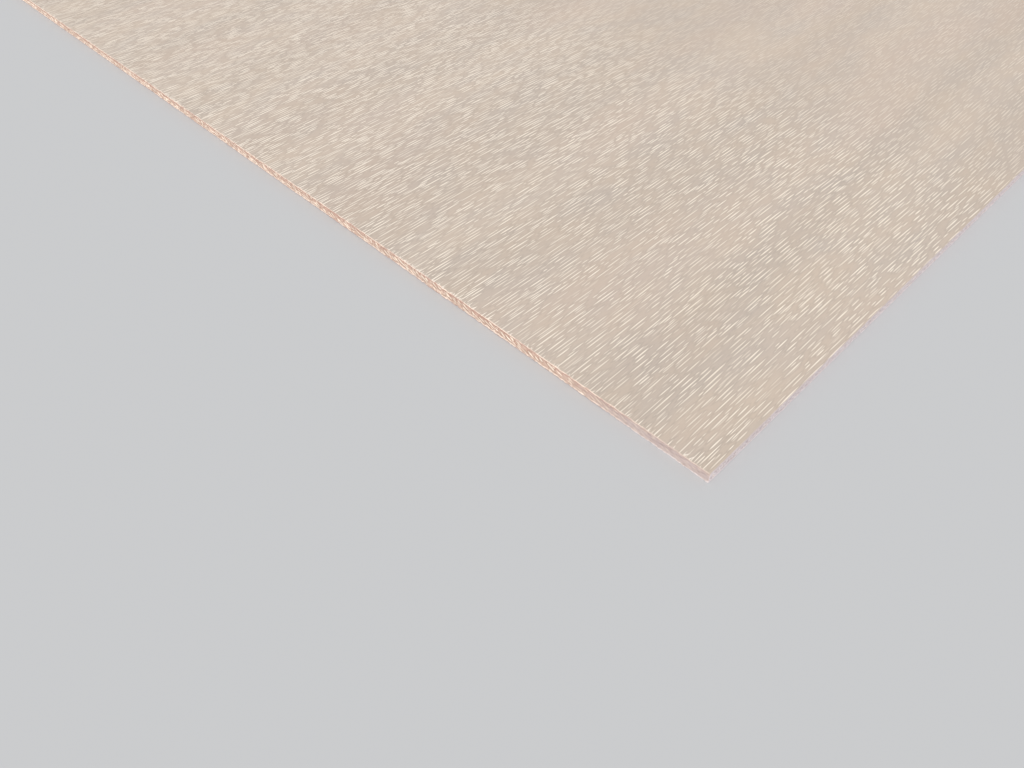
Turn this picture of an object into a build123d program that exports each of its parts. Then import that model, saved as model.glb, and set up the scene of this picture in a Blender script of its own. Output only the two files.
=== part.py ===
from build123d import *
import os

os.makedirs("parts", exist_ok=True)

# Three-ply plywood sheet, lying flat with its face side up, in millimetres.
# X runs along the sheet, with the grain of the face and back veneers.
# Y runs across the sheet, with the grain of the core veneer. Z is up.
# The origin is the middle of the back, in the plane that the sheet lies on.

# Trimmed size of the sheet
sheet_length = 2440.0
sheet_width = 1220.0

# Thickness of each ply, sanded
back_thickness = 0.9
core_thickness = 3.2
face_thickness = 0.9

# Corners blunted by handling, and outer arrises eased by the sanding of both sides
corner_radius = 0.8
arris_radius = 0.2

# Planes of the two glue lines
lower_glue_plane = Plane.XY.offset(back_thickness)
upper_glue_plane = Plane.XY.offset(back_thickness + core_thickness)


def trimmed_outline():
    """The outline that one saw cut gives to all the plies of the pressed sheet."""
    RectangleRounded(sheet_length, sheet_width, corner_radius)


# Back veneer, grain along X, with its lower arris eased
with BuildPart() as back_veneer:
    with BuildSketch(Plane.XY):
        trimmed_outline()
    extrude(amount=back_thickness)
    underside = back_veneer.faces().sort_by(Axis.Z)[0]
    fillet(underside.edges(), radius=arris_radius)

# Core veneer, grain along Y, glued between the other two and cut flush with them
with BuildPart() as core_veneer:
    with BuildSketch(lower_glue_plane):
        trimmed_outline()
    extrude(amount=core_thickness)

# Face veneer, grain along X, with its upper arris eased
with BuildPart() as face_veneer:
    with BuildSketch(upper_glue_plane):
        trimmed_outline()
    extrude(amount=face_thickness)
    face_side = face_veneer.faces().sort_by(Axis.Z)[-1]
    fillet(face_side.edges(), radius=arris_radius)

back_veneer.part.label = "back_veneer"
core_veneer.part.label = "core_veneer"
face_veneer.part.label = "face_veneer"

export_step(back_veneer.part, "parts/back_veneer.step")
export_step(core_veneer.part, "parts/core_veneer.step")
export_step(face_veneer.part, "parts/face_veneer.step")
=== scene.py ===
import math
from collections import namedtuple

import bpy
import numpy as np
from mathutils import Matrix, Vector


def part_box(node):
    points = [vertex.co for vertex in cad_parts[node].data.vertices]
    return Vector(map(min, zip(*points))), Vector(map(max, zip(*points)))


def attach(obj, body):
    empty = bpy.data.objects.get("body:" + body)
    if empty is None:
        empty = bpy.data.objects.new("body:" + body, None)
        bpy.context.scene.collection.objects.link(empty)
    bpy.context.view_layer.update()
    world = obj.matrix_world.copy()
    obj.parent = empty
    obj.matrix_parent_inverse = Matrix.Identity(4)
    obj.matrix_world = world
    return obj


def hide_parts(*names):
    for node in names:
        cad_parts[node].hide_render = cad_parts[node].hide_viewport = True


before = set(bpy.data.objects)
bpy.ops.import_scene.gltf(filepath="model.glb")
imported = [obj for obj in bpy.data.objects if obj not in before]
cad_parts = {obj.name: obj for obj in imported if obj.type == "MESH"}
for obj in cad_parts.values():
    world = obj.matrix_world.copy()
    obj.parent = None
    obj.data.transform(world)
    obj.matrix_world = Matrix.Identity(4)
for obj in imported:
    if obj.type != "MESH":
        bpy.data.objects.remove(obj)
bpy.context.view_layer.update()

# Lengths are in metres, and inside a material in millimetres. MM turns millimetres into metres.
MM = 0.001
BOTH_SIDES = (-1, 1)

# Planes of the three plies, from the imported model
back_low, back_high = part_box("back_veneer")
core_low, core_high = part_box("core_veneer")
face_low, face_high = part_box("face_veneer")
HALF_LENGTH = core_high.x
HALF_WIDTH = core_high.y

# The saw-cut wood lies this far inside the outline, so that its torn fibres end at the outline
SAW_INSET = 0.40 * MM
# How far the saw strayed from its line, and over what length
SAW_WANDER = 0.05 * MM
SAW_WAVE = 90 * MM
# The sanded face lies a little under the sheet's top, so that lifted fibres end there
SANDED_TOP = face_high.z - 0.12 * MM
CORNER_RADIUS = 0.9 * MM
CORNER_PARTS = (0.0, 0.25, 0.5, 0.75)
# The torn edge is drawn finer near the corner that is seen closest
STATION_SPACING = 0.85 * MM
FINE_SPACING = 0.35 * MM
FINE_REACH = 0.20
# Between these depths the edge is torn, and a smooth line runs behind it on the flat side
SHALLOWEST_TEAR = 0.05 * MM
DEEPEST_TEAR = 0.85 * MM
FLAT_LINE = 0.88 * MM
# A flat side starts from a coarse loop this far inside the sheet
CAP_MARGIN = 6.0 * MM
CAP_SPACING = 40.0 * MM
GLUE_GROOVE = 0.08 * MM
# Fibres start this far from the corners
CORNER_ROOM = 1.0 * MM

# Stretches of the short edge at -X where the saw tore the core, as places along Y and half lengths
TORN_STRETCHES = ((-0.468, 0.024), (-0.235, 0.018), (0.110, 0.030), (0.395, 0.020))
# How much more the edge is torn there, and how steeply that sets in
TORN_EXTRA = 1.6
TORN_ONSET = 1.4

# The patterns on a sanded veneer: their waves' length along its grain and breadth across, in mm
Pattern = namedtuple("Pattern", "long broad")
GRAIN_WANDER = Pattern(190.0, 110.0)
PORE_DRIFTS = Pattern(20.0, 9.0)
PORE_PATCHES = Pattern(330.0, 190.0)
FINE_FIBRE = Pattern(12.0, 0.30)
SOFT_CLOUDS = Pattern(42.0, 18.0)
BROAD_TONES = Pattern(160.0, 50.0)
LOG_FIGURE = Pattern(1500.0, 330.0)
# How far the grain sways, in mm, and how far the sine that draws the log's figure turns
GRAIN_SWAY = 5.5
FIGURE_TURN = 62.0
# Between the first two distances from the near end the pores grow faint, and between the other
# two they come back in patches, in mm. Both sway with the drifts.
PORES_FADE = (180.0, 280.0)
PORES_RETURN = (420.0, 700.0)
FADE_SWAY = 40.0

# Strokes in the wood, in mm: the cell that holds one, the longest and the thickest, the share of
# cells that have one, how far they lean and how soft their sides are
Strokes = namedtuple("Strokes", "cell longest thickest share lean soft", defaults=(0.015, 0.03))
LONG_PORES = Strokes((17.5, 1.65), 16.5, 0.80, 0.98)
SHORT_PORES = Strokes((10.6, 1.50), 9.8, 0.70, 0.92)
TOOTH_MARKS = Strokes((6.0, 1.75), 5.8, 0.95, 1.2, lean=0.05, soft=0.10)
CORE_STRANDS = Strokes((3.8, 0.95), 3.7, 0.42, 0.7)
CRUSHED_ENDS = Strokes((1.4, 0.95), 1.3, 0.60, 0.80, lean=0.1, soft=0.10)

# A size has this scale up to the first place, and is full from the last on. Pores are thinnest
# near the corner, by their distance from it, and shortest along the near long side, by their y.
Growth = namedtuple("Growth", "first last scale")
NEAR_SIDE = -HALF_WIDTH / MM
PORE_THICKNESS = Growth(20.0, 320.0, 0.66)
PORE_LENGTH = Growth(NEAR_SIDE + 20.0, NEAR_SIDE + 200.0, 0.92)

# The tooth marks of the saw climb one in two
TOOTH_RUN, TOOTH_RISE = 0.894, 0.447


def screen(red, green, blue):
    """A colour as it looks on a screen, 0 to 255, as the linear colour that sockets take."""

    def linear(channel):
        share = channel / 255.0
        return share / 12.92 if share <= 0.04045 else ((share + 0.055) / 1.055) ** 2.4

    return linear(red), linear(green), linear(blue), 1.0


# Sanded sides
FACE_CREAM = screen(213, 196, 180)
FACE_PINK = screen(210, 191, 177)
FACE_GREY = screen(202, 189, 178)
# Pale pores: partly their own colour, partly a painted glint
PORE_CREAM_AND_GLINT = screen(255, 243, 228)
BACK_CREAM = screen(203, 185, 167)
BACK_PINK = screen(200, 178, 163)
BACK_GREY = screen(194, 180, 167)
# Core on the short sides, where its grain runs along the edge
CORE_RED = screen(216, 183, 167)
CORE_BROWN = screen(174, 136, 120)
CORE_PINK = screen(226, 197, 179)
# Near the corner the core is painted shade: duller lavender wood and darker streaks
CORE_LAVENDER_SHADED = screen(206, 190, 187)
CORE_SHADE = screen(160, 137, 131)
CORE_TORN = screen(255, 238, 220)
# Core on the long sides, where its fibre ends show
END_LAVENDER = screen(212, 201, 203)
END_PORE = screen(184, 171, 173)
END_WHITE = screen(248, 241, 244)
# Edges of the outer plies: their upper and lower parts, and both near the corner, where they are
# painted shade
FACE_LINE = screen(250, 230, 213)
FACE_UNDER = screen(194, 159, 146)
FACE_CORNER_SHADED = (screen(226, 206, 193), screen(202, 183, 174))
FACE_SIDE = screen(196, 184, 179)
BACK_LINE = screen(250, 231, 217)
BACK_UNDER = screen(186, 154, 143)
BACK_CORNER_SHADED = (screen(212, 196, 191), screen(240, 230, 229))
BACK_SIDE = screen(218, 209, 212)
FIBRE_CREAM = screen(250, 238, 225)
# Studio
FLOOR_PALE = screen(203, 204, 206)
BACKDROP_PALE = screen(203, 204, 205)


class Wire:
    """One output of a node. Sums and products of wires add Math nodes."""

    def __init__(self, nodes, socket):
        self.nodes = nodes
        self.socket = socket

    def out(self, name):
        """Another output of the same node."""
        return Wire(self.nodes, self.socket.node.outputs[name])

    def maths(self, operation, *values):
        settings = {"operation": operation}
        return self.nodes.add("ShaderNodeMath", settings, dict(enumerate(values)))

    def __add__(self, other):
        return self.maths("ADD", self, other)

    def __radd__(self, other):
        return self.maths("ADD", other, self)

    def __sub__(self, other):
        return self.maths("SUBTRACT", self, other)

    def __rsub__(self, other):
        return self.maths("SUBTRACT", other, self)

    def __mul__(self, other):
        return self.maths("MULTIPLY", self, other)

    def __rmul__(self, other):
        return self.maths("MULTIPLY", other, self)

    def __truediv__(self, other):
        return self.maths("DIVIDE", self, other)

    def __abs__(self):
        return self.maths("ABSOLUTE", self)

    def sine(self):
        return self.maths("SINE", self)

    def floor(self):
        return self.maths("FLOOR", self)

    def maximum(self, other):
        return self.maths("MAXIMUM", self, other)

    def held(self):
        """The same number, kept between 0 and 1."""
        return self.nodes.add("ShaderNodeClamp", {}, {0: self})

    def above(self, low):
        """A number from 0 to 1, squeezed to run from low to 1."""
        return low + (1.0 - low) * self


class Nodes:
    """The nodes of one material or of one Geometry Nodes group."""

    def __init__(self, tree):
        self.tree = tree

    def add(self, kind, settings=None, sockets=None, output=0):
        """Adds a node: its settings first, then its sockets' values or links. Gives one output."""
        node = self.tree.nodes.new(kind)
        for name, value in (settings or {}).items():
            setattr(node, name, value)
        for key, value in (sockets or {}).items():
            if isinstance(value, Wire):
                self.tree.links.new(value.socket, node.inputs[key])
            else:
                node.inputs[key].default_value = value
        return Wire(self, node.outputs[output]) if node.outputs else None

    def mix(self, share, first, second):
        """A colour between two colours."""
        settings = {"data_type": "RGBA"}
        return self.add("ShaderNodeMix", settings, {0: share, 6: first, 7: second}, 2)

    def shade(self, colour, level):
        """A colour or a vector times a number."""
        settings = {"operation": "SCALE"}
        return self.add("ShaderNodeVectorMath", settings, {0: colour, "Scale": level})

    def vector_maths(self, operation, first, second):
        """The sum or product of two vectors."""
        settings = {"operation": operation}
        return self.add("ShaderNodeVectorMath", settings, {0: first, 1: second})

    def vector(self, x, y, z=0.0):
        return self.add("ShaderNodeCombineXYZ", {}, {0: x, 1: y, 2: z})

    def noise(self, x, y, z=0.0, detail=2.0, rough=0.5):
        """Soft noise, about 0.25 to 0.75, with one wave for each unit of x, y and z."""
        point = self.vector(x, y, z)
        sockets = {"Vector": point, "Scale": 1.0, "Detail": detail, "Roughness": rough}
        return self.add("ShaderNodeTexNoise", {"noise_dimensions": "3D"}, sockets, "Fac")

    def step(self, value, low, high):
        """0 where value is under low, 1 where it is over high, and smooth between them."""
        settings = {"interpolation_type": "SMOOTHSTEP"}
        sockets = {"Value": value, "From Min": low, "From Max": high}
        return self.add("ShaderNodeMapRange", settings, sockets)

    def grown(self, value, growth):
        """The growth's scale where value is under its first place, 1 where it is over its last."""
        return self.step(value, growth.first, growth.last).above(growth.scale)

    def place(self):
        """The point's x, y and z on the sheet, in millimetres."""
        point = self.add("ShaderNodeTexCoord", {}, {}, "Object")
        split = self.add("ShaderNodeSeparateXYZ", {}, {0: point})
        return split.out("X") / MM, split.out("Y") / MM, split.out("Z") / MM

    def chance(self, x, y):
        """Three random numbers, 0 to 1, as Red, Green and Blue, for a pair of whole numbers."""
        settings = {"noise_dimensions": "2D"}
        pair = {"Vector": self.vector(x, y)}
        noise = self.add("ShaderNodeTexWhiteNoise", settings, pair, "Color")
        return self.add("ShaderNodeSeparateColor", {}, {0: noise})

    def strokes(self, along, across, kind, seed, swell=1.0, growth=None):
        """Straight tapered strokes in staggered rows, at most one to a cell of its kind.

        Gives 0 off them and up to 1 on them, and as a second wire the soft rim round each one.
        along and across are in millimetres, swell scales the thickness from place to place, and
        growth, over across, scales the length of the rows' cells and strokes.
        """
        # The shortest and thinnest against the longest and thickest, how many cells a row is
        # shifted by at most, how weak strokes fade, and the rim's reach in thicknesses
        shortest, thinnest = 0.35, 0.65
        stagger, fade = 31.0, 0.25
        rim_start, rim_end = 0.9, 0.2
        longest, thickest, lean = kind.longest, kind.thickest, kind.lean
        cell_length, cell_breadth = kind.cell
        rows = across / cell_breadth
        row = rows.floor()
        stretch = self.grown(row * cell_breadth, growth) if growth else 1.0
        cell_length = stretch * cell_length
        columns = along / cell_length + self.chance(row, seed).out("Red") * stagger
        column = columns.floor()
        size = self.chance(column, row + seed)
        spot = self.chance(column + 0.5, row + seed)
        half_long = size.out("Red").above(shortest) * (stretch * (longest / 2))
        half_thick = size.out("Green").above(thinnest) * (swell * (thickest / 2))
        room_along = cell_length - 2.0 * half_long
        room_across = cell_breadth - thickest - lean * longest
        du = (columns - column - 0.5) * cell_length - (spot.out("Red") - 0.5) * room_along
        dv = (rows - row - 0.5) * cell_breadth - (spot.out("Green") - 0.5) * room_across
        tilt = (spot.out("Blue") - 0.5) * (2.0 * lean)
        reach = abs(du) / half_long
        room = (1.0 - reach * reach * reach) * half_thick
        level = room - abs(dv - du * tilt)
        strength = self.step(kind.share - size.out("Blue"), 0.0, fade)
        rim = self.step(level, -rim_start * thickest, -rim_end * thickest)
        return self.step(level, -kind.soft, kind.soft) * strength, rim * strength

    def finish(self, colour, roughness, height, bump, depth, specular):
        """Ends a material in one Principled shader with a bump depth metres high."""
        relief = {"Strength": bump, "Distance": depth, "Height": height}
        sockets = {
            "Base Color": colour,
            "Roughness": roughness,
            "Normal": self.add("ShaderNodeBump", {}, relief),
            "Specular IOR Level": specular,
        }
        shader = self.add("ShaderNodeBsdfPrincipled", {}, sockets, "BSDF")
        self.add("ShaderNodeOutputMaterial", {}, {"Surface": shader})


def new_material(name):
    material = bpy.data.materials.new(name)
    material.use_nodes = True
    material.node_tree.nodes.clear()
    return material, Nodes(material.node_tree)


def sanded_veneer(name, cream, pink, grey, pore_strength, seed):
    """Sanded rotary-cut veneer, grain along X: pale pores on cream wood with faint clouds. The
    pores' paleness is partly their own and partly a painted glint, and each pore has a painted
    shadow rim.
    """
    material, nodes = new_material(name)
    x, y, _ = nodes.place()
    from_end = x + HALF_LENGTH / MM
    from_side = y + HALF_WIDTH / MM
    # The grain wanders by a few degrees over a hand's breadth
    wander = nodes.noise(x / GRAIN_WANDER.long + seed, y / GRAIN_WANDER.broad, detail=0.0)
    grain = y + (wander - 0.5) * GRAIN_SWAY
    # Pores crowd together in drifts, the short ones more than the long ones
    crowd = nodes.noise(x / PORE_DRIFTS.long + seed, grain / PORE_DRIFTS.broad)
    drift = nodes.step(crowd, 0.40, 0.60)
    often = drift.above(0.72)
    seldom = drift.above(0.42)
    swell = nodes.grown(from_end.maximum(from_side), PORE_THICKNESS)
    long_pores, long_rims = nodes.strokes(x, grain, LONG_PORES, seed, swell, PORE_LENGTH)
    short_pores, short_rims = nodes.strokes(x, grain, SHORT_PORES, seed + 5.3, swell, PORE_LENGTH)
    # Short pores keep clear of long ones
    short_pores = short_pores * (1.0 - long_rims)
    inside = from_end + (drift - 0.5) * FADE_SWAY
    spread = nodes.noise(x / PORE_PATCHES.long, y / PORE_PATCHES.broad + seed, detail=1.0)
    patches = nodes.step(spread, 0.42, 0.60) * nodes.step(inside, *PORES_RETURN)
    calm = 1.0 - 0.6 * nodes.step(inside, *PORES_FADE) * (1.0 - patches)
    pores = (long_pores * often + short_pores * seldom).held() * calm
    pore_shadow_rims = (long_rims * often + short_rims * seldom).held() * calm
    # Fine fibre, soft clouds, broad tones, and the figure of a peeled log
    fibre = nodes.noise(x / FINE_FIBRE.long, grain / FINE_FIBRE.broad, detail=3.0, rough=0.6)
    cloud = nodes.noise(
        x / SOFT_CLOUDS.long + seed, grain / SOFT_CLOUDS.broad, detail=3.0, rough=0.55
    )
    tone = nodes.noise(x / BROAD_TONES.long, grain / BROAD_TONES.broad + seed)
    field = nodes.noise(x / LOG_FIGURE.long + seed, grain / LOG_FIGURE.broad, rough=0.4)
    lines = (field * FIGURE_TURN).sine()
    figure = nodes.step(lines + (cloud - 0.5) * 1.5, -0.7, 0.9)
    wood = nodes.mix(nodes.step(cloud, 0.30, 0.74) * 0.85, cream, grey)
    wood = nodes.mix(nodes.step(tone, 0.42, 0.75) * 0.55, wood, pink)
    # Painted shadow: the rims darken the wood beside each pore
    level = 1.0 - 0.045 * figure - 0.10 * pore_shadow_rims + (fibre - 0.5) * 0.26 + (cloud - 0.5) * 0.08
    # The pores' cream is partly their own colour and partly a painted glint
    colour = nodes.mix(pores * pore_strength, nodes.shade(wood, level), PORE_CREAM_AND_GLINT)
    nodes.finish(
        colour,
        roughness=0.56 + (fibre - 0.5) * 0.12 - pores * 0.08,
        height=fibre * 0.4 + pores * 0.6,
        bump=0.35,
        depth=0.12 * MM,
        specular=0.35,
    )
    return material


def torn_patches(nodes, y):
    """1 on the torn stretches of the short edge, 0 off them."""
    total = 0.0
    for place, half in TORN_STRETCHES:
        total = total + nodes.step(1.0 - abs(y - place / MM) / (half / MM), 0.0, 0.35)
    return total.held()


def corner_shade_share(nodes, y, full, gone):
    """1 up to full millimetres from the near end of a short edge, and 0 from gone on: the share of
    painted shade there.
    """
    return 1.0 - nodes.step(y + HALF_WIDTH / MM, full, gone)


def core_side_grain(name):
    """Saw-cut core on the short sides, its grain along the edge: tooth marks and torn strands."""
    material, nodes = new_material(name)
    x, y, z = nodes.place()
    streak = nodes.noise(y / 4.0, (z + y * 0.12) / 0.45, x / 3.0, detail=3.0, rough=0.6)
    broad = nodes.noise(y / 48.0, z / 2.6)
    bend = (nodes.noise(y / 14.0, z / 4.0, detail=1.0) - 0.5) * 1.4
    along = y * TOOTH_RUN + z * TOOTH_RISE
    across = z * TOOTH_RUN - y * TOOTH_RISE + bend
    marks, gaps = nodes.strokes(along, across, TOOTH_MARKS, seed=3.1)
    strands, _ = nodes.strokes(y + z * 0.6, z - y * 0.25, CORE_STRANDS, seed=9.7)
    torn = torn_patches(nodes, y)
    # Near the corner the edge is painted in shade: lavender wood, darker streaks and fewer pale
    # marks
    corner = corner_shade_share(nodes, y, full=30.0, gone=80.0)
    # The wood is palest at the lower glue line, and reddest just under the face
    height = nodes.step(z + (broad - 0.5) * 2.4, 1.2, 4.4)
    wood = nodes.mix(height, CORE_PINK, CORE_RED)
    wood = nodes.mix(corner * 0.9, wood, CORE_LAVENDER_SHADED)
    dark = nodes.step(streak, 0.46, 0.62) * (0.25 + 0.45 * corner * height)
    wood = nodes.mix(dark, wood, nodes.mix(corner, CORE_BROWN, CORE_SHADE))
    wood = nodes.mix(gaps * (0.75 - 0.70 * corner), wood, CORE_BROWN)
    pale = (marks * (0.95 - 0.75 * corner) + strands * torn.above(0.35)).held()
    colour = nodes.mix(pale, wood, CORE_TORN)
    relief = streak * 0.4 + pale * 0.8
    nodes.finish(colour, 0.80, relief, bump=0.6, depth=0.25 * MM, specular=0.2)
    return material


def core_end_grain(name):
    """Saw-cut core on the long sides, across its grain: pale crushed ends and dark pores."""
    material, nodes = new_material(name)
    x, y, z = nodes.place()
    speck = nodes.noise(x / 1.2, z / 1.0, y / 2.0, detail=3.0, rough=0.65)
    ends, _ = nodes.strokes(x + z * 0.4, z, CRUSHED_ENDS, seed=5.9)
    band = nodes.noise(x / 12.0, z / 1.3)
    wood = nodes.mix(nodes.step(speck, 0.36, 0.58), END_PORE, END_LAVENDER)
    wood = nodes.mix(nodes.step(band, 0.50, 0.75) * 0.15, wood, CORE_RED)
    colour = nodes.mix(ends * 0.8, wood, END_WHITE)
    relief = speck * 0.6 + ends * 0.5
    nodes.finish(colour, 0.85, relief, bump=0.6, depth=0.25 * MM, specular=0.15)
    return material


def ply_edge(name, upper, lower, level, soft, along_x=False, corner_shade_colours=None):
    """The saw-cut edge of an outer veneer, on a short side or along X.

    It is upper above level, in mm, and lower below it. The last argument holds both colours near
    the corner, where they are painted shade.
    """
    material, nodes = new_material(name)
    x, y, z = nodes.place()
    run = x if along_x else y
    long, broad = (7.0, 0.25) if along_x else (0.45, 0.6)
    grain = nodes.noise(run / long, z / broad, detail=3.0, rough=0.6)
    wander = nodes.noise(run / 9.0, 0.5)
    line = z + (grain - 0.5) * 0.7 + (wander - 0.5) * 0.5
    share = nodes.step(line, level - soft, level + soft)
    patches = nodes.step(nodes.noise(run / 2.5, 7.5, detail=3.0), 0.38, 0.56)
    if corner_shade_colours:
        # Near the corner both colours turn to their painted-shade copies
        corner = corner_shade_share(nodes, y, full=20.0, gone=60.0)
        upper = nodes.mix(corner, upper, corner_shade_colours[0])
        lower = nodes.mix(corner, lower, corner_shade_colours[1])
    colour = nodes.mix(share * patches.above(0.35), lower, upper)
    colour = nodes.shade(colour, 0.90 + 0.20 * grain)
    nodes.finish(colour, 0.80, grain, bump=0.5, depth=0.2 * MM, specular=0.2)
    return material


def plain_wood(name, colour, roughness):
    """Wood with a fine even grain, for torn fibres and for what no one sees."""
    material, nodes = new_material(name)
    x, y, z = nodes.place()
    grain = nodes.noise(x / 0.8, y / 0.8, z / 0.8)
    colour = nodes.shade(colour[:3], 0.85 + 0.3 * grain)
    nodes.finish(colour, roughness, grain, bump=0.1, depth=0.1 * MM, specular=0.25)
    return material


face_surface = sanded_veneer(
    "sanded_face", FACE_CREAM, FACE_PINK, FACE_GREY, pore_strength=1.0, seed=4.0
)
back_surface = sanded_veneer(
    "sanded_back", BACK_CREAM, BACK_PINK, BACK_GREY, pore_strength=0.35, seed=23.0
)
core_surface = plain_wood("unsanded_core", CORE_RED, roughness=0.8)
face_short = ply_edge(
    "face_fibre_ends", FACE_LINE, FACE_UNDER, level=4.60, soft=0.12, corner_shade_colours=FACE_CORNER_SHADED
)
face_long = ply_edge(
    "face_fibre_side", FACE_SIDE, END_LAVENDER, level=4.60, soft=0.12, along_x=True
)
back_short = ply_edge(
    "back_fibre_ends", BACK_LINE, BACK_UNDER, level=0.35, soft=0.15, corner_shade_colours=BACK_CORNER_SHADED
)
back_long = ply_edge(
    "back_fibre_side", BACK_SIDE, END_LAVENDER, level=0.4, soft=0.3, along_x=True
)
core_short = core_side_grain("core_fibre_side")
core_long = core_end_grain("core_fibre_ends")
fibre_cream = plain_wood("torn_fibre", FIBRE_CREAM, roughness=0.7)


class Outline:
    """Stations round the trimmed sheet, anticlockwise from above, and the way out at each."""

    def __init__(self, rng):
        a = HALF_LENGTH - CORNER_RADIUS
        b = HALF_WIDTH - CORNER_RADIUS
        r = CORNER_RADIUS
        spots, outward, short = [], [], []
        # Each side's start and end, its way out, the middle of its last corner, and if it is short
        sides = (
            (Vector((-a, -b - r)), Vector((a, -b - r)), Vector((0, -1)), Vector((a, -b)), False),
            (Vector((a + r, -b)), Vector((a + r, b)), Vector((1, 0)), Vector((a, b)), True),
            (Vector((a, b + r)), Vector((-a, b + r)), Vector((0, 1)), Vector((-a, b)), False),
            (Vector((-a - r, b)), Vector((-a - r, -b)), Vector((-1, 0)), Vector((-a, -b)), True),
        )
        near = Vector((-a, -b))
        for start, end, out, centre, is_short in sides:
            heading = (end - start).normalized()
            spot = start
            while (end - spot).dot(heading) > FINE_SPACING:
                spots.append(spot)
                outward.append(out)
                short.append(is_short)
                spacing = FINE_SPACING if (spot - near).length < FINE_REACH else STATION_SPACING
                spot = spot + heading * (spacing * rng.uniform(0.6, 1.4))
            turn = math.atan2(out.y, out.x)
            for part in CORNER_PARTS:
                angle = turn + part * math.pi / 2
                direction = Vector((math.cos(angle), math.sin(angle)))
                spots.append(centre + direction * r)
                outward.append(direction)
                short.append(is_short if part < 0.5 else not is_short)
        self.spots = np.array(spots)
        self.outward = np.array(outward)
        self.short = np.array(short)
        gaps = np.linalg.norm(self.spots - np.roll(self.spots, 1, 0), axis=1)
        self.along = np.cumsum(gaps)
        self.girth = self.along[-1]
        # How torn the core is: 1 in ordinary places, more on the torn stretches
        self.torn = np.ones(len(self.spots))
        for place, half in TORN_STRETCHES:
            share = np.clip(TORN_ONSET * (1 - np.abs(self.spots[:, 1] - place) / half), 0, 1)
            self.torn += TORN_EXTRA * share * (self.spots[:, 0] < -a)

    def wander(self, rng, wavelength):
        """A smooth random line round the sheet, -1 to 1, that closes on itself."""
        knots = rng.uniform(-1, 1, round(self.girth / wavelength))
        spot = self.along / self.girth * len(knots)
        first = np.floor(spot).astype(int)
        share = spot - first
        share = share * share * (3 - 2 * share)
        first = first % len(knots)
        return knots[first] * (1 - share) + knots[(first + 1) % len(knots)] * share

    def chips(self, rng, spacing, widest, deepest):
        """Small breakouts at random along the edge: 0 between them, up to deepest inside them."""
        depth = np.zeros(len(self.along))
        for centre in rng.uniform(0, self.girth, round(self.girth / spacing)):
            half = rng.uniform(0.3, 1.0) * widest / 2
            share = 1 - np.abs(self.along - centre) / half
            chip = np.clip(share * 2, 0, 1) * rng.uniform(0.3, 1.0) * deepest
            depth = np.maximum(depth, chip)
        return depth


outline_rng = np.random.default_rng(11)
outline = Outline(outline_rng)
# The line that the saw took, shared by all plies
saw_line = SAW_INSET + outline.wander(outline_rng, SAW_WAVE) * SAW_WANDER


def add_object(name, data):
    thing = bpy.data.objects.new(name, data)
    bpy.context.scene.collection.objects.link(thing)
    return thing


def ring(height, depth):
    """The outline at one height, depth inside the solid's outline."""
    flat = outline.spots - outline.outward * depth[:, None]
    return np.column_stack([flat, np.full(len(flat), height)])


def cap_loop(height):
    """A coarse loop a little inside the outline, which the flat of a veneer starts from."""
    a = HALF_LENGTH - CAP_MARGIN
    b = HALF_WIDTH - CAP_MARGIN
    along_x = np.linspace(-a, a, round(2 * a / CAP_SPACING))[:-1]
    along_y = np.linspace(-b, b, round(2 * b / CAP_SPACING))[:-1]
    loop = [(x, -b) for x in along_x] + [(a, y) for y in along_y]
    loop += [(-x, b) for x in along_x] + [(-a, -y) for y in along_y]
    return np.array([(x, y, height) for x, y in loop])


def cap_faces(first, loop_first, outer, loop, upward):
    """Faces between the fine outline and the coarse loop, and one across the middle."""
    near = np.linalg.norm(outer[:, None, :2] - loop[None, :, :2], axis=2).argmin(1)
    faces = []
    count = len(outer)
    for i in range(count):
        after = (i + 1) % count
        face = [first + i, first + after, loop_first + near[after]]
        if near[after] != near[i]:
            face.append(loop_first + near[i])
        faces.append(face if upward else face[::-1])
    middle = [loop_first + i for i in range(len(loop))]
    faces.append(middle if upward else middle[::-1])
    return faces


def veneer(name, node, rows, finishes):
    """One ply with its saw-torn edge.

    rows are (height, depth) pairs from its lower side up, and finishes are the materials of its
    flat sides, its short edges and its long edges.
    """
    flat_side, short_edge, long_edge = range(3)
    count = len(outline.spots)
    flat = np.full(count, FLAT_LINE)
    rows = [(rows[0][0], flat)] + rows + [(rows[-1][0], flat)]
    rings = [ring(height, depth) for height, depth in rows]
    faces, finish_of_face = [], []
    for level in range(len(rings) - 1):
        low = level * count
        high = low + count
        on_flat = level in (0, len(rings) - 2)
        for i in range(count):
            after = (i + 1) % count
            faces.append([low + i, low + after, high + after, high + i])
            edge = short_edge if outline.short[i] else long_edge
            finish_of_face.append(flat_side if on_flat else edge)
    low_loop = cap_loop(rows[0][0])
    high_loop = cap_loop(rows[-1][0])
    points = np.concatenate(rings + [low_loop, high_loop])
    low_first = len(rings) * count
    high_first = low_first + len(low_loop)
    caps = cap_faces(0, low_first, rings[0], low_loop, False)
    caps += cap_faces((len(rings) - 1) * count, high_first, rings[-1], high_loop, True)
    faces += caps
    finish_of_face += [flat_side] * len(caps)
    mesh = bpy.data.meshes.new(name)
    mesh.from_pydata([tuple(p) for p in points], [], [[int(i) for i in f] for f in faces])
    for material in finishes:
        mesh.materials.append(material)
    mesh.polygons.foreach_set("material_index", finish_of_face)
    mesh.validate()
    piece = add_object(name, mesh)
    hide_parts(node)
    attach(piece, "root")


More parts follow.
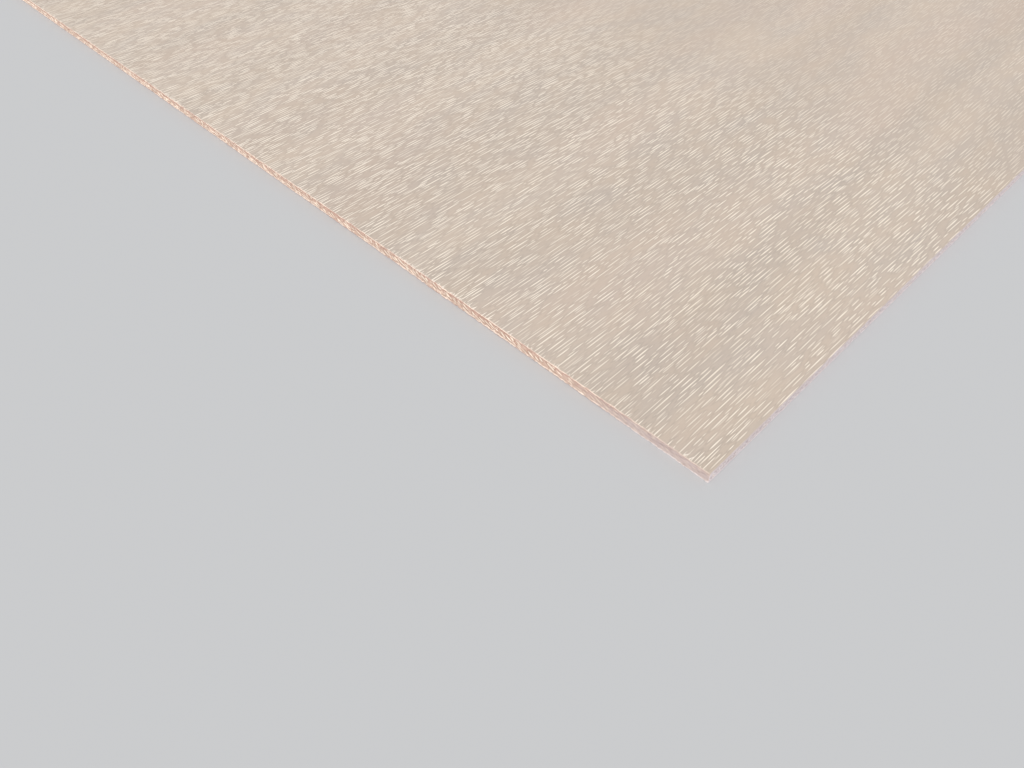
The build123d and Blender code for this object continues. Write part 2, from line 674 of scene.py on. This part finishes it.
def ply_rows(rng, low, high, levels, rough, wave, chips, torn):
    """Rows of a ply's edge, from low to high.

    levels are (share of the ply's height, extra depth, share of the breakouts) triples. rough,
    wave and chips each hold a value for the short and one for the long edges: how deep the
    roughness is, how long its waves are, and the spacing, greatest width and greatest depth of
    the breakouts. torn tells how far the torn stretches count.
    """
    short = outline.short
    breakouts = np.where(short, outline.chips(rng, *chips[0]), outline.chips(rng, *chips[1]))
    lift = 1 + (outline.torn - 1) * torn

    def roughness():
        on_short = outline.wander(rng, wave[0]) * rough[0]
        on_long = outline.wander(rng, wave[1]) * rough[1]
        return np.where(short, on_short, on_long)

    shared = roughness()
    rows = []
    for share, extra, broken in levels:
        uneven = (0.6 * shared + 0.5 * roughness()) * lift
        depth = saw_line + uneven + extra + broken * breakouts
        height = low + share * (high - low)
        rows.append((height, np.clip(depth, SHALLOWEST_TEAR, DEEPEST_TEAR)))
    return rows


ply_rng = np.random.default_rng(23)
face_rows = ply_rows(
    ply_rng, face_low.z, SANDED_TOP,
    levels=(
        (0.0, GLUE_GROOVE, 0.0),
        (0.3, 0.0, 0.0),
        (0.6, 0.0, 0.2),
        (0.85, 0.04 * MM, 0.6),
        (1.0, 0.24 * MM, 1.0),
    ),
    rough=(0.12 * MM, 0.04 * MM),
    wave=(1.6 * MM, 9 * MM),
    chips=((9 * MM, 2.2 * MM, 0.45 * MM), (60 * MM, 14 * MM, 0.20 * MM)),
    torn=0.5,
)
core_rows = ply_rows(
    ply_rng, core_low.z, core_high.z,
    levels=(
        (0.0, GLUE_GROOVE, 0.0),
        (0.15, 0.0, 0.0),
        (0.4, 0.0, 0.3),
        (0.65, 0.0, 0.3),
        (0.85, 0.0, 0.0),
        (1.0, GLUE_GROOVE, 0.0),
    ),
    rough=(0.06 * MM, 0.09 * MM),
    wave=(5 * MM, 1.6 * MM),
    chips=((25 * MM, 6 * MM, 0.35 * MM), (40 * MM, 5 * MM, 0.25 * MM)),
    torn=1.0,
)
back_rows = ply_rows(
    ply_rng, back_low.z, back_high.z,
    levels=(
        (0.0, 0.10 * MM, 1.0),
        (0.12, 0.0, 0.8),
        (0.35, -0.06 * MM, 0.3),
        (0.7, 0.0, 0.0),
        (1.0, GLUE_GROOVE, 0.0),
    ),
    rough=(0.19 * MM, 0.08 * MM),
    wave=(1.2 * MM, 3 * MM),
    chips=((7 * MM, 2.2 * MM, 0.45 * MM), (14 * MM, 3 * MM, 0.45 * MM)),
    torn=0.5,
)
veneer("face_veneer_cut", "face_veneer", face_rows, (face_surface, face_short, face_long))
veneer("core_veneer_cut", "core_veneer", core_rows, (core_surface, core_short, core_long))
veneer("back_veneer_cut", "back_veneer", back_rows, (back_surface, back_short, back_long))


FIBRE_INPUTS = (
    ("Band", "NodeSocketGeometry"),
    ("Density", "NodeSocketFloat"),
    ("Length", "NodeSocketFloat"),
    ("Breadth", "NodeSocketFloat"),
    ("Outward", "NodeSocketFloat"),
    ("Grain", "NodeSocketVector"),
    ("Lean", "NodeSocketVector"),
    ("Seed", "NodeSocketInt"),
    ("Finish", "NodeSocketMaterial"),
)
# The shortest fibre against the longest, the narrowest against the broadest, and how thick a
# fibre is against its breadth
SHORTEST_FIBRE = 0.35
NARROWEST_FIBRE = 0.5
FIBRE_THICKNESS = 0.4


def fibre_tree():
    """Geometry Nodes that set torn fibres on a band of the edge.

    A fibre points along the band's outward side times Outward, plus Grain, plus or minus up to
    Lean.
    """
    group = bpy.data.node_groups.new("torn_fibres", "GeometryNodeTree")
    for name, kind in FIBRE_INPUTS:
        group.interface.new_socket(name=name, in_out="INPUT", socket_type=kind)
    geometry = "NodeSocketGeometry"
    group.interface.new_socket(name="Fibres", in_out="OUTPUT", socket_type=geometry)
    nodes = Nodes(group)
    given = nodes.add("NodeGroupInput")
    seed = given.out("Seed")
    spots = nodes.add(
        "GeometryNodeDistributePointsOnFaces",
        {"distribute_method": "RANDOM"},
        {"Mesh": given.out("Band"), "Density": given.out("Density"), "Seed": seed},
    )
    # Each fibre's heading, and its broad side turned up
    stray = nodes.add(
        "FunctionNodeRandomValue",
        {"data_type": "FLOAT_VECTOR"},
        {0: (-1, -1, -1), 1: (1, 1, 1), "Seed": seed},
    )
    outward = nodes.shade(spots.out("Normal"), given.out("Outward"))
    lean = nodes.vector_maths("MULTIPLY", stray, given.out("Lean"))
    heading = nodes.vector_maths("ADD", outward, given.out("Grain"))
    heading = nodes.vector_maths("ADD", heading, lean)
    turn = nodes.add("FunctionNodeAlignRotationToVector", {"axis": "Z"}, {"Vector": heading})
    turn = nodes.add(
        "FunctionNodeAlignRotationToVector",
        {"axis": "Y", "pivot_axis": "Z"},
        {"Rotation": turn, "Vector": (0.0, 0.0, 1.0)},
    )
    chance = nodes.add(
        "FunctionNodeRandomValue",
        {"data_type": "FLOAT"},
        {2: SHORTEST_FIBRE, 3: 1.0, "Seed": seed + 1.0},
        1,
    )
    breadth = given.out("Breadth") * chance.above(NARROWEST_FIBRE)
    size = nodes.vector(breadth, breadth * FIBRE_THICKNESS, given.out("Length") * chance)
    fibre = nodes.add(
        "GeometryNodeMeshCone",
        {"fill_type": "NGON"},
        {"Vertices": 4, "Radius Top": 0.0, "Radius Bottom": 0.5, "Depth": 1.0},
    )
    sockets = {"Points": spots, "Instance": fibre, "Rotation": turn, "Scale": size}
    fibres = nodes.add("GeometryNodeInstanceOnPoints", {}, sockets)
    fibres = nodes.add("GeometryNodeRealizeInstances", {}, {0: fibres})
    sockets = {"Geometry": fibres, "Material": given.out("Finish")}
    fibres = nodes.add("GeometryNodeSetMaterial", {}, sockets)
    nodes.add("NodeGroupOutput", {}, {0: fibres})
    return group


fibre_group = fibre_tree()


def torn_fibres(name, slot, bands, per_square_mm, **sizes):
    """Torn fibres on bands, each four corners anticlockwise seen from where the band looks."""
    mesh = bpy.data.meshes.new(name)
    corners = [corner for band in bands for corner in band]
    mesh.from_pydata(corners, [], [range(4 * i, 4 * i + 4) for i in range(len(bands))])
    holder = add_object(name, mesh)
    modifier = holder.modifiers.new("torn_fibres", "NODES")
    modifier.node_group = fibre_group
    values = {"Density": per_square_mm / MM ** 2, "Finish": fibre_cream, **sizes}
    for item in fibre_group.interface.items_tree:
        if item.in_out == "INPUT" and item.name in values:
            modifier[item.identifier] = values[item.name]
    seen = holder.evaluated_get(bpy.context.evaluated_depsgraph_get())
    made = bpy.data.meshes.new_from_object(seen)
    bpy.data.objects.remove(holder)
    piece = add_object(name, made)
    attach(piece, "root")


END_Y = HALF_WIDTH - CORNER_ROOM


def short_band(side, depth, low, high, from_y=-END_Y):
    """An upright band on a short side, side -1 or 1, that looks outward."""
    x = side * (HALF_LENGTH - depth)
    start, end = (from_y, END_Y) if side > 0 else (END_Y, from_y)
    return ((x, start, low), (x, end, low), (x, end, high), (x, start, high))


def long_band(side, depth, low, high):
    """An upright band on a long side, side -1 or 1, that looks outward."""
    y = side * (HALF_WIDTH - depth)
    end = (HALF_LENGTH - CORNER_ROOM) * -side
    return ((-end, y, low), (end, y, low), (end, y, high), (-end, y, high))


def arris_band(side, inner, outer, from_y=-END_Y, to_y=END_Y):
    """A level band just under the sanded face, beside a short side, that looks up."""
    height = SANDED_TOP - 0.02 * MM
    low, high = sorted((side * (HALF_LENGTH - outer), side * (HALF_LENGTH - inner)))
    return (
        (low, from_y, height), (high, from_y, height), (high, to_y, height), (low, to_y, height)
    )


torn_fibres(
    "back_fibre_tufts", "back",
    [short_band(side, depth=0.45 * MM, low=0.15 * MM, high=0.80 * MM) for side in BOTH_SIDES],
    per_square_mm=0.55,
    Length=0.42 * MM, Breadth=0.34 * MM, Outward=1.0, Lean=(0.0, 0.35, 0.25), Seed=3,
)
torn_fibres(
    "face_fibre_tufts", "face",
    [short_band(side, depth=0.45 * MM, low=4.25 * MM, high=4.80 * MM) for side in BOTH_SIDES],
    per_square_mm=0.45,
    Length=0.40 * MM, Breadth=0.28 * MM, Outward=1.0, Lean=(0.0, 0.35, 0.25), Seed=5,
)
for side, label in zip(BOTH_SIDES, ("left", "right")):
    torn_fibres(
        "face_lifted_fibres_" + label, "face",
        [arris_band(side, inner=0.85 * MM, outer=0.45 * MM)],
        per_square_mm=0.40,
        Length=3.4 * MM, Breadth=0.68 * MM, Outward=0.0,
        Grain=(-side, 0.0, 0.0), Lean=(0.0, 0.55, 0.002), Seed=7,
    )
torn_fibres(
    "face_torn_tufts", "face",
    [arris_band(-1, inner=0.95 * MM, outer=0.40 * MM, from_y=place - half, to_y=place + half)
     for place, half in TORN_STRETCHES],
    per_square_mm=1.6,
    Length=2.2 * MM, Breadth=0.68 * MM, Outward=0.0,
    Grain=(1.0, 0.0, 0.0), Lean=(0.0, 0.9, 0.002), Seed=17,
)
# The first 60 mm of a short edge have a smooth core
torn_fibres(
    "core_torn_strands", "core",
    [short_band(side, depth=0.40 * MM, low=1.1 * MM, high=2.9 * MM, from_y=-HALF_WIDTH + 60 * MM)
     for side in BOTH_SIDES],
    per_square_mm=0.30,
    Length=3.2 * MM, Breadth=0.46 * MM, Outward=0.05,
    Grain=(0.0, 0.89, 0.45), Lean=(0.04, 0.12, 0.12), Seed=11,
)
torn_fibres(
    "core_fibre_fuzz", "core",
    [long_band(side, depth=0.42 * MM, low=0.9 * MM, high=4.1 * MM) for side in BOTH_SIDES],
    per_square_mm=0.45,
    Length=0.36 * MM, Breadth=0.26 * MM, Outward=1.0, Lean=(0.4, 0.0, 0.4), Seed=13,
)


def plain_floor(radius, sides, drop):
    """A pale disc, drop under the sheet's back."""
    turns = [2 * math.pi * i / sides for i in range(sides)]
    rim = [(radius * math.cos(turn), radius * math.sin(turn), -drop) for turn in turns]
    mesh = bpy.data.meshes.new("floor")
    mesh.from_pydata(rim, [], [range(sides)])
    material, nodes = new_material("pale_floor")
    sockets = {"Base Color": FLOOR_PALE, "Roughness": 0.9, "Specular IOR Level": 0.0}
    shader = nodes.add("ShaderNodeBsdfPrincipled", {}, sockets, "BSDF")
    nodes.add("ShaderNodeOutputMaterial", {}, {"Surface": shader})
    mesh.materials.append(material)
    floor = add_object("floor", mesh)


def broad_key(source, strength, spread, tint):
    """One broad, even light from the side of source, alike on the whole sheet and the floor."""
    data = bpy.data.lights.new("broad_key", "SUN")
    data.energy = strength
    data.angle = math.radians(spread)
    data.color = tint
    lamp = add_object("broad_key", data)
    lamp.rotation_euler = (-Vector(source)).to_track_quat("-Z", "Y").to_euler()


def even_sky(strength, tint):
    """Even light from all round. The camera itself sees the plain backdrop behind the floor."""
    world = bpy.data.worlds.new("studio")
    world.use_nodes = True
    world.node_tree.nodes.clear()
    nodes = Nodes(world.node_tree)
    rays = nodes.add("ShaderNodeLightPath", {}, {}, "Is Camera Ray")
    seen = (rays + rays.out("Is Glossy Ray") + rays.out("Is Transmission Ray")).held()
    light = nodes.add("ShaderNodeBackground", {}, {"Color": tint, "Strength": strength})
    sockets = {"Color": BACKDROP_PALE, "Strength": 1.0}
    backdrop = nodes.add("ShaderNodeBackground", {}, sockets)
    sky = nodes.add("ShaderNodeMixShader", {}, {0: seen, 1: light, 2: backdrop})
    nodes.add("ShaderNodeOutputWorld", {}, {"Surface": sky})
    bpy.context.scene.world = world


def photo_camera(from_corner, heading, down, roll, lens):
    """A camera near the sheet's corner: its place from there, its angles and its focal length.

    heading turns from +X towards +Y, down is below level, and both are in degrees, as roll is.
    """
    corner = Vector((SAW_INSET - HALF_LENGTH, SAW_INSET - HALF_WIDTH, SANDED_TOP))
    heading, down, roll = map(math.radians, (heading, down, roll))
    forward = Vector((
        math.cos(down) * math.cos(heading),
        math.cos(down) * math.sin(heading),
        -math.sin(down),
    ))
    level = forward.cross(Vector((0, 0, 1))).normalized()
    above = level.cross(forward)
    right = level * math.cos(roll) + above * math.sin(roll)
    up = right.cross(forward)
    data = bpy.data.cameras.new("camera")
    data.sensor_width = 36.0
    data.lens = lens
    data.clip_start = 0.01
    data.clip_end = 100.0
    camera = add_object("camera", data)
    turn = Matrix((right, up, -forward)).transposed().to_4x4()
    camera.matrix_world = Matrix.Translation(corner + from_corner) @ turn
    bpy.context.scene.camera = camera


plain_floor(radius=60.0, sides=64, drop=0.05 * MM)
even_sky(strength=0.60, tint=(0.96, 0.98, 1.0, 1.0))
broad_key(source=(-0.60, -0.52, 0.62), strength=2.15, spread=30, tint=(1.0, 0.97, 0.93))
photo_camera(Vector((-148.0, -65.9, 212.0)) * MM, heading=47.41, down=47.71, roll=-2.33, lens=27.31)

scene = bpy.context.scene
scene.view_settings.view_transform = "Standard"
